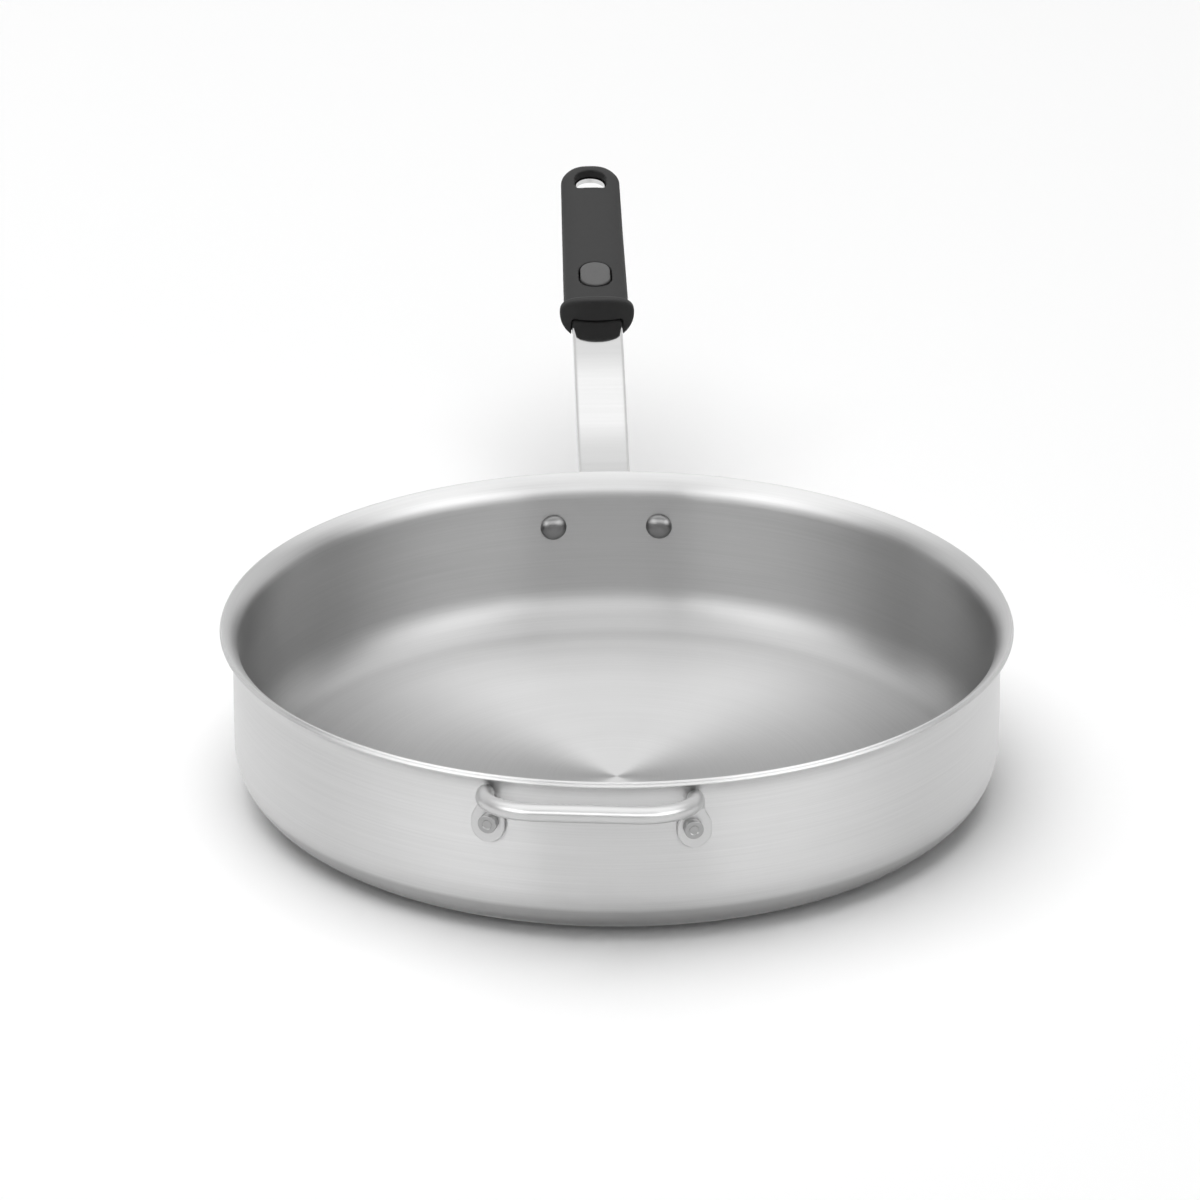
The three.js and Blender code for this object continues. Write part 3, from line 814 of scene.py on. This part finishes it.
def helper_half():
    """Rings from the foot of one tab to the middle of the bar, with +Y out through the handle's middle."""
    lean = math.asin(math.sin(math.radians(helper_spread)) + tab_shift / wall_radius)
    outward = Vector((math.sin(lean), math.cos(lean), 0))
    axis = np.array(outward) * (wall_radius + seat_gap + rod)
    bend_start = helper_rivet_height + tab_rise + tab_shoulder
    top = bend_start + leg_bend * math.tan(math.radians((90 - leg_slope) / 2))
    foot = np.array([axis[0], axis[1], helper_rivet_height - tab_below])
    knee = np.array([axis[0], axis[1], top])
    elbow = knee + slope(leg_slope, (wall_radius + bar_reach - axis[1]) / math.cos(math.radians(leg_slope)))
    length, place = bent_route([(foot, 0), (knee, leg_bend), (elbow, bar_bend), (elbow * [0, 1, 1], 0)])
    tab_end = tab_below + tab_rise
    rod_start = tab_end + tab_shoulder
    leg_end = rod_start + leg_bend * math.radians(90 - leg_slope)
    bar_end = length - elbow[0] + bar_bend
    stations = np.concatenate(
        [
            tab_half * (1 - np.cos(np.radians(np.linspace(12, 90, 14)))),
            np.linspace(tab_below, tab_end, 14),
            np.linspace(tab_end, rod_start, 9)[1:],
            np.linspace(rod_start, leg_end, 20)[1:],
            np.linspace(bar_end - bar_bend * math.pi / 2, bar_end, 22),
            np.linspace(bar_end, length, 8)[1:],
        ]
    )
    heading = Vector((0, 0, 1))
    turned_by = Matrix.Identity(3)
    rings = []
    for s in stations:
        at, along = place(s)
        along = Vector(along)
        turned_by = heading.rotation_difference(along).to_matrix() @ turned_by
        heading = along
        roundness = ease(s, tab_end, rod_start)
        short = max(0, 1 - s / tab_half)
        half = mix(tab_half * math.sqrt(1 - short**2), rod, ease(s, tab_below, rod_start))
        thick = mix(tab_thick / 2, rod, roundness)
        side = turned_by @ Vector((outward.y, -outward.x, 0))
        out = turned_by @ outward
        outline = rounded_section(40, half, thick, thick, mix(tab_power, 2, roundness))
        rings.append(np.array([Vector(at) + side * x + out * (n + thick - rod) for x, n in outline]))
    return rings


helper_rings = helper_half()
helper_rings += [ring * [-1, 1, 1] for ring in helper_rings[-2::-1]]
helper = loft("helper_rod", helper_rings)
helper.data.transform(Matrix.Rotation(-math.radians(helper_bearing), 4, "Z"))
cut(helper, *rivet_bores(rivet_places[2:]))
smooth(helper, 35)

rod_steel, rod_vector = brushed_steel(
    "rod_steel_satin", dark=0.52, light=0.6, polish=0.3, coarse=0.36, anisotropy=0, bump=0.1
)
lay_lines(rod_steel, rod_vector, (90, 900, 900))
helper.data.materials.append(rod_steel)
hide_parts("helper_handle")
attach(helper, "pan")

tab_seat = wall_radius + seat_gap + tab_thick + seat_gap / 2
stud_profile = rivet_profile(tab_seat, radius=0.0039, height=0.0034, bevel=0.0004, dimple=0.0003)
helper_rivets = rivet_pair(
    "helper_rivets", stud_profile, helper_bearing, helper_spread, helper_rivet_height, rivet_steel
)
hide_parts("helper_rivet_left", "helper_rivet_right")


# Grip: one moulding of dark silicone, slid over the strap. A bowed collar stops the hand at its front, a
# window in its top shows the lock button, and a hole near its thin tail lines up with the strap's for
# hanging.
grip_top = 0.0044
grip_depth = 0.0121
tail_depth = 0.0038
grip_half_front = 0.01495
grip_half_tail = 0.0136
collar_half = 0.01695
collar_centre = 0.0016
collar_up = 0.0098
collar_down = 0.013
collar_sides = 0.0023
collar_end = 0.0053
collar_blend = 0.006
face_bow = 0.0045
face_edge = 0.0006
grip_power = 2.8
collar_power = 2.25
pocket_mouth = -0.012
window_gap = 0.00075
hang_relief = 0.0022
above_grip = 0.015
below_grip = -0.03


def grip_ring(y, scale=1):
    """One section of the moulding in the grip's frame, shrunk by the scale on the collar's bowed face."""
    bottom = mix(grip_depth, tail_depth, ease(y, grip_length - tail_taper, grip_length))
    rim = 1 - ease(y, collar_end, collar_end + collar_blend)
    past = max(0, (y - (grip_length - grip_half_tail)) / grip_half_tail)
    rounding = max(0, (y - (grip_length - tail_edge)) / tail_edge)
    flat = math.sqrt(1 - rounding**2) * scale
    half = mix(mix(grip_half_front, grip_half_tail, y / grip_length), collar_half, rim)
    half *= math.sqrt(1 - past**2) * scale
    centre = mix((grip_top - bottom) / 2, collar_centre, rim)
    up = mix((grip_top + bottom) / 2, collar_up, rim) * flat
    down = mix((grip_top + bottom) / 2, collar_down, rim) * flat
    outline = rounded_section(96, half, up, down, mix(grip_power, collar_power, rim))
    bow = face_bow * rim
    return np.array(
        [grip_frame @ Vector((x, y - bow * (1 - (x / collar_half) ** 2), centre + n)) for x, n in outline]
    )


def strap_pocket():
    """The hollow that takes the strap, a little larger than it and open at the collar."""
    tail = strap_in_grip - strap_half * (1 - np.sin(np.radians(np.linspace(0, 78, 10))))
    taper = np.linspace(edge_end - tail_taper / 2, edge_end, 10) - collar_station
    rings = []
    for y in [pocket_mouth, *taper, *tail]:
        s = max(y, 0) + collar_station
        half = strap_width(s)
        depth = strap_edge(s)
        bend = edge_round(half, depth)
        low = -strip - depth - seat_gap
        left = arc(bend - half, -bend, bend + seat_gap, 180, 90, 8)
        right = [(-x, n) for x, n in left[::-1]]
        outline = [(-half - seat_gap, low), *left, *right, (half + seat_gap, low)]
        rings.append(np.array([grip_frame @ Vector((x, y, n)) for x, n in outline]))
    return loft("pocket", rings)


face = [(collar_sides, k) for k in np.linspace(0.08, 0.95, 16)]
stations = np.concatenate(
    [
        np.linspace(collar_sides + face_edge, collar_end + collar_blend, 24),
        np.linspace(collar_end + collar_blend, grip_length - grip_half_tail, 40)[1:],
        grip_length - grip_half_tail * (1 - np.sin(np.radians(np.linspace(0, 88, 26)))),
    ]
)
sleeve = loft("silicone_grip", [grip_ring(y, k) for y, k in face] + [grip_ring(y) for y in stations])
window = obround(button_half + window_gap, button_straight)
button_window = prism("window", window, -strip / 2, above_grip, button_middle)
hang_top = prism("hang_top", hang_outline(0), -strip / 2, above_grip, hang_middle)
hang_low = prism("hang_low", hang_outline(hang_relief), below_grip, -strip / 2, hang_middle)
cut(sleeve, strap_pocket(), button_window, hang_top, hang_low)
skin = sleeve.modifiers.new("skin", "REMESH")
skin.mode = "VOXEL"
skin.voxel_size = 0.00048
soften = sleeve.modifiers.new("soften", "SMOOTH")
soften.factor = 0.5
soften.iterations = 5
bake(sleeve)
sleeve.data.shade_smooth()


def moulded(name, dark, light, roughness, grain):
    """Matte moulded polymer: mottled colour and a fine grain."""
    material = bpy.data.materials.new(name)
    material.use_nodes = True
    nodes = material.node_tree.nodes
    link = material.node_tree.links.new
    shader = nodes["Principled BSDF"]
    shader.inputs["Specular IOR Level"].default_value = 0.25
    place = nodes.new("ShaderNodeTexCoord")
    mottle = nodes.new("ShaderNodeTexNoise")
    mottle.inputs["Scale"].default_value = 260
    mottle.inputs["Detail"].default_value = 4
    tint = nodes.new("ShaderNodeMix")
    tint.data_type = "RGBA"
    tint.inputs["A"].default_value = grey(dark)
    tint.inputs["B"].default_value = grey(light)
    uneven = 0.08
    dull = nodes.new("ShaderNodeMapRange")
    dull.inputs["To Min"].default_value = roughness - uneven
    dull.inputs["To Max"].default_value = roughness + uneven
    fine = nodes.new("ShaderNodeTexNoise")
    fine.inputs["Scale"].default_value = grain
    fine.inputs["Detail"].default_value = 2
    relief = nodes.new("ShaderNodeBump")
    relief.inputs["Strength"].default_value = 0.25
    relief.inputs["Distance"].default_value = 0.0001
    link(place.outputs["Object"], mottle.inputs["Vector"])
    link(place.outputs["Object"], fine.inputs["Vector"])
    link(mottle.outputs["Fac"], tint.inputs["Factor"])
    link(mottle.outputs["Fac"], dull.inputs["Value"])
    link(tint.outputs["Result"], shader.inputs["Base Color"])
    link(dull.outputs["Result"], shader.inputs["Roughness"])
    link(fine.outputs["Fac"], relief.inputs["Height"])
    link(relief.outputs["Normal"], shader.inputs["Normal"])
    return material


silicone = moulded("silicone_matte", dark=0.019, light=0.028, roughness=0.62, grain=2600)
sleeve.data.materials.append(silicone)
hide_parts("grip_sleeve")
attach(sleeve, "pan")


# Lock button: a moulded obround that stands up through the strap's slot and just out of the grip's window.
# A wider stop under the strap keeps it in, and pressing it down frees the grip.
button_proud = 0.0005
button_top = grip_top + button_proud
stop_margin = 0.0012
stop_thick = 0.0013
stop_bevel = 0.0003
stop_top = -strip - seat_gap
stop_half = button_half + stop_margin
cap_edge = 0.0006
cap_round = 0.0005
button_levels = [
    (stop_half - stop_bevel, stop_top - stop_thick),
    (stop_half, stop_top - stop_thick + stop_bevel),
    (stop_half, stop_top - stop_bevel),
    (stop_half - stop_bevel, stop_top),
    (button_half, stop_top),
    *[(button_half, height) for height in np.linspace(-0.002, button_top - cap_edge, 6)],
    *arc(button_half - cap_edge, button_top - cap_edge, cap_round, 10, 80, 5),
    (button_half - 0.0014, button_top - 0.00004),
    (button_half - 0.004, button_top),
    (0.0004, button_top),
]
button_layers = [(obround(half, button_straight), height) for half, height in button_levels]
button = stack("lock_button_cap", button_layers, button_middle)
smooth(button, 40)
button_plastic = moulded("button_matte", dark=0.085, light=0.112, roughness=0.55, grain=3400)
button.data.materials.append(button_plastic)
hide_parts("lock_button")
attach(button, "button")


# Lock spring and its rivet: a strip of spring steel under the strap, cranked down at its knee so that its
# free end lifts the button, and one small countersunk rivet through its foot. Both are out of sight in the
# strap's hollow.
spring_steel, spring_vector = brushed_steel(
    "spring_steel_rolled", dark=0.55, light=0.68, polish=0.22, coarse=0.34, anisotropy=0, bump=0.1
)
lay_lines(spring_steel, spring_vector, (1500, 30, 30))

spring_half = 0.004
spring_thick = 0.0006
spring_foot = 0.007
spring_ramp = 0.008
foot_top = -strip - seat_gap / 2
toe_top = stop_top - stop_thick - seat_gap / 2
heel = spring_rivet_at + spring_foot
knee = spring_rivet_at - spring_foot
toe = button_middle - (2 * button_half + button_straight) / 3
tip_run = 0.003
tip_share = 0.55


def spring_ring(y):
    """Section of the spring strip at a distance along the grip's frame."""
    top = mix(toe_top, foot_top, ease(y, knee - spring_ramp, knee))
    tip = mix(tip_share, 1, math.sqrt(max(0, min(1, (y - toe) / tip_run))))
    outline = rounded_section(24, spring_half * tip, spring_thick / 2, spring_thick / 2, 8)
    return np.array([grip_frame @ Vector((x, y, top - spring_thick / 2 + n)) for x, n in outline])


spring_stations = np.concatenate(
    [
        np.linspace(toe, toe + tip_run, 6),
        np.linspace(toe + tip_run + 0.001, knee - spring_ramp, 14),
        np.linspace(knee - spring_ramp, knee, 12)[1:],
        np.linspace(knee, heel, 8)[1:],
    ]
)
spring = loft("leaf_spring", [spring_ring(y) for y in spring_stations])
foot_hole = turned("hole", [(0, hole_low), (hole_radius, hole_low), (hole_radius, 0), (0, 0)], 32)
foot_hole.data.transform(grip_frame @ Matrix.Translation((0, spring_rivet_at, 0)))
cut(spring, foot_hole)
smooth(spring, 35)
spring.data.materials.append(spring_steel)
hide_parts("lock_spring")
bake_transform(spring)

head_radius = 0.0028
head_height = 0.0014
head_top = foot_top - spring_thick - seat_gap / 2
head_profile = [(0, head_top - head_height)]
for t in np.radians(range(10, 91, 10)):
    head_profile.append((head_radius * math.sin(t), head_top - head_height * math.cos(t)))
head_profile += [
    (hole_radius - seat_gap / 2, head_top),
    (hole_radius - seat_gap / 2, sink_foot),
    (sink_radius - seat_gap / 2, sink_top),
    (0, sink_top),
]
spring_rivet = turned("spring_rivet_head", head_profile, 32)
spring_rivet.data.transform(grip_frame @ Matrix.Translation((0, spring_rivet_at, 0)))
smooth(spring_rivet, 35)
spring_rivet.data.materials.append(rivet_steel)
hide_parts("spring_rivet")
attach(spring_rivet, "pan")


# Studio: a white floor, with the camera where the photograph's was. Two soft boxes, broad overhead and weak
# in front, light the matte surfaces, and a dome that falls away to the horizon and three panels show in the
# metal alone. The floor's faint glow shows to the camera and in the metal.
floor_half = 40
floor_lift = 0.03
floor_tone = 0.95
bounce_tone = 0.4
wing_level = 0.25
backdrop_level = 0.42
sky_strength = 1.56
dome_tilt = math.radians(8)
fade_share = 0.7

floor_corners = [(x * floor_half, y * floor_half, 0) for x, y in ((-1, -1), (1, -1), (1, 1), (-1, 1))]
floor = mesh_piece("floor", floor_corners, [(0, 1, 2, 3)])
floor_white = bpy.data.materials.new("floor_white")
floor_white.use_nodes = True
floor_nodes = floor_white.node_tree.nodes
floor_link = floor_white.node_tree.links.new
floor_shader = floor_nodes["Principled BSDF"]
floor_shader.inputs["Roughness"].default_value = 1
floor_shader.inputs["Specular IOR Level"].default_value = 0
floor_shader.inputs["Emission Color"].default_value = grey(1)
ray = floor_nodes.new("ShaderNodeLightPath").outputs
seen = maths(floor_nodes, floor_link, "MAXIMUM", ray["Is Camera Ray"], ray["Is Glossy Ray"])
shown = maths(floor_nodes, floor_link, "MAXIMUM", seen, ray["Is Transmission Ray"])
glow = maths(floor_nodes, floor_link, "MULTIPLY", shown, floor_lift)
bounced = floor_nodes.new("ShaderNodeMix")
bounced.data_type = "RGBA"
bounced.inputs["A"].default_value = grey(floor_tone)
bounced.inputs["B"].default_value = grey(bounce_tone)
floor_link(ray["Is Diffuse Ray"], bounced.inputs["Factor"])
floor_link(bounced.outputs["Result"], floor_shader.inputs["Base Color"])
floor_link(glow, floor_shader.inputs["Emission Strength"])
floor.data.materials.append(floor_white)

world = bpy.data.worlds.new("studio")
bpy.context.scene.world = world
world.use_nodes = True
sky_nodes = world.node_tree.nodes
sky_link = world.node_tree.links.new
direction = sky_nodes.new("ShaderNodeTexCoord")
overhead = sky_nodes.new("ShaderNodeVectorMath")
overhead.operation = "DOT_PRODUCT"
overhead.inputs[1].default_value = (0, math.sin(dome_tilt), math.cos(dome_tilt))
falloff = sky_nodes.new("ShaderNodeValToRGB")
falloff.color_ramp.interpolation = "EASE"
stops = [(0, 0.06), (0.1, 0.09), (0.29, 0.18), (0.47, 0.32), (0.57, 0.43), (0.755, 0.7), (0.92, 1)]
for position, level in stops[1:-1]:
    falloff.color_ramp.elements.new(position).color = grey(level)
falloff.color_ramp.elements[0].color = grey(stops[0][1])
falloff.color_ramp.elements[-1].position = stops[-1][0]
bearing_of = sky_nodes.new("ShaderNodeSeparateXYZ")
sky_link(direction.outputs["Generated"], overhead.inputs[0])
sky_link(direction.outputs["Generated"], bearing_of.inputs[0])
sky_link(overhead.outputs["Value"], falloff.inputs["Fac"])
toward = bearing_of.outputs
behind = zone(sky_nodes, sky_link, toward["Y"], start=-0.1, end=0.6)
low = zone(sky_nodes, sky_link, toward["Z"], start=0.62, end=0.15)
aside = maths(sky_nodes, sky_link, "ABSOLUTE", toward["X"])
beside = zone(sky_nodes, sky_link, aside, start=0.3, end=0.6)
high = zone(sky_nodes, sky_link, toward["Z"], start=0.45, end=0.68)
flank = maths(sky_nodes, sky_link, "MULTIPLY", beside, high)
sweep = maths(sky_nodes, sky_link, "MULTIPLY", behind, low)
wings = maths(sky_nodes, sky_link, "MULTIPLY_ADD", flank, wing_level, falloff.outputs["Color"])
backdrop = maths(sky_nodes, sky_link, "MULTIPLY_ADD", sweep, backdrop_level, wings)
sky_link(backdrop, sky_nodes["Background"].inputs["Color"])
sky_nodes["Background"].inputs["Strength"].default_value = sky_strength
world.cycles_visibility.diffuse = False


def panel(name, bearing, rise, distance, width, height, power, in_metal):
    """A soft box facing the pan, seen either in the metal alone or by the matte surfaces alone."""
    lamp_data = bpy.data.lights.new(name, "AREA")
    lamp_data.shape = "RECTANGLE"
    lamp_data.size = width
    lamp_data.size_y = height
    lamp_data.energy = power
    lamp = bpy.data.objects.new(name, lamp_data)
    bpy.context.scene.collection.objects.link(lamp)
    turn = math.radians(bearing)
    tilt = math.radians(rise)
    toward = Vector((math.sin(turn) * math.cos(tilt), -math.cos(turn) * math.cos(tilt), math.sin(tilt)))
    lamp.location = toward * distance
    lamp.rotation_euler = toward.to_track_quat("Z", "Y").to_euler()
    lamp.visible_camera = False
    lamp.visible_diffuse = not in_metal
    lamp.visible_glossy = in_metal
    return lamp_data


def fading(lamp_data, outer_edge):
    """Lets a soft box fall away to nothing over a share of its width, at its outer edge, 0 or 1 across."""
    lamp_data.use_nodes = True
    nodes = lamp_data.node_tree.nodes
    link = lamp_data.node_tree.links.new
    across = nodes.new("ShaderNodeSeparateXYZ")
    link(nodes.new("ShaderNodeNewGeometry").outputs["Parametric"], across.inputs[0])
    full = mix(outer_edge, 1 - outer_edge, fade_share)
    fade = zone(nodes, link, across.outputs["X"], outer_edge, full)
    link(fade, nodes["Emission"].inputs["Strength"])


for name, bearing, outer_edge in (("left_panel", -62, 0), ("right_panel", 64, 1)):
    side_panel = panel(name, bearing, rise=23, distance=2.6, width=4, height=1.3, power=44, in_metal=True)
    fading(side_panel, outer_edge)
panel("front_panel", 2, rise=27, distance=2.6, width=1.8, height=1.2, power=13, in_metal=True)
panel("overhead_box", -130, rise=80, distance=5, width=6.5, height=6.5, power=350, in_metal=False)
panel("fill_box", 0, rise=55, distance=4, width=4, height=3, power=30, in_metal=False)

camera_data = bpy.data.cameras.new("camera")
camera_data.sensor_width = 36
camera_data.lens = 234.6
camera_data.shift_x = -0.0139
camera_data.clip_end = 100
camera = bpy.data.objects.new("camera", camera_data)
bpy.context.scene.collection.objects.link(camera)
camera_distance = 3.2874
camera_yaw = math.radians(1.68)
camera_rise = math.radians(23.18)
camera_pitch = 23.04
camera_reach = camera_distance * math.cos(camera_rise)
camera.location = (
    -camera_reach * math.sin(camera_yaw),
    -camera_reach * math.cos(camera_yaw),
    pan_height + camera_distance * math.sin(camera_rise),
)
camera.rotation_euler = (math.radians(90 - camera_pitch), 0, -camera_yaw)
bpy.context.scene.camera = camera
bpy.context.scene.view_settings.view_transform = "Standard"
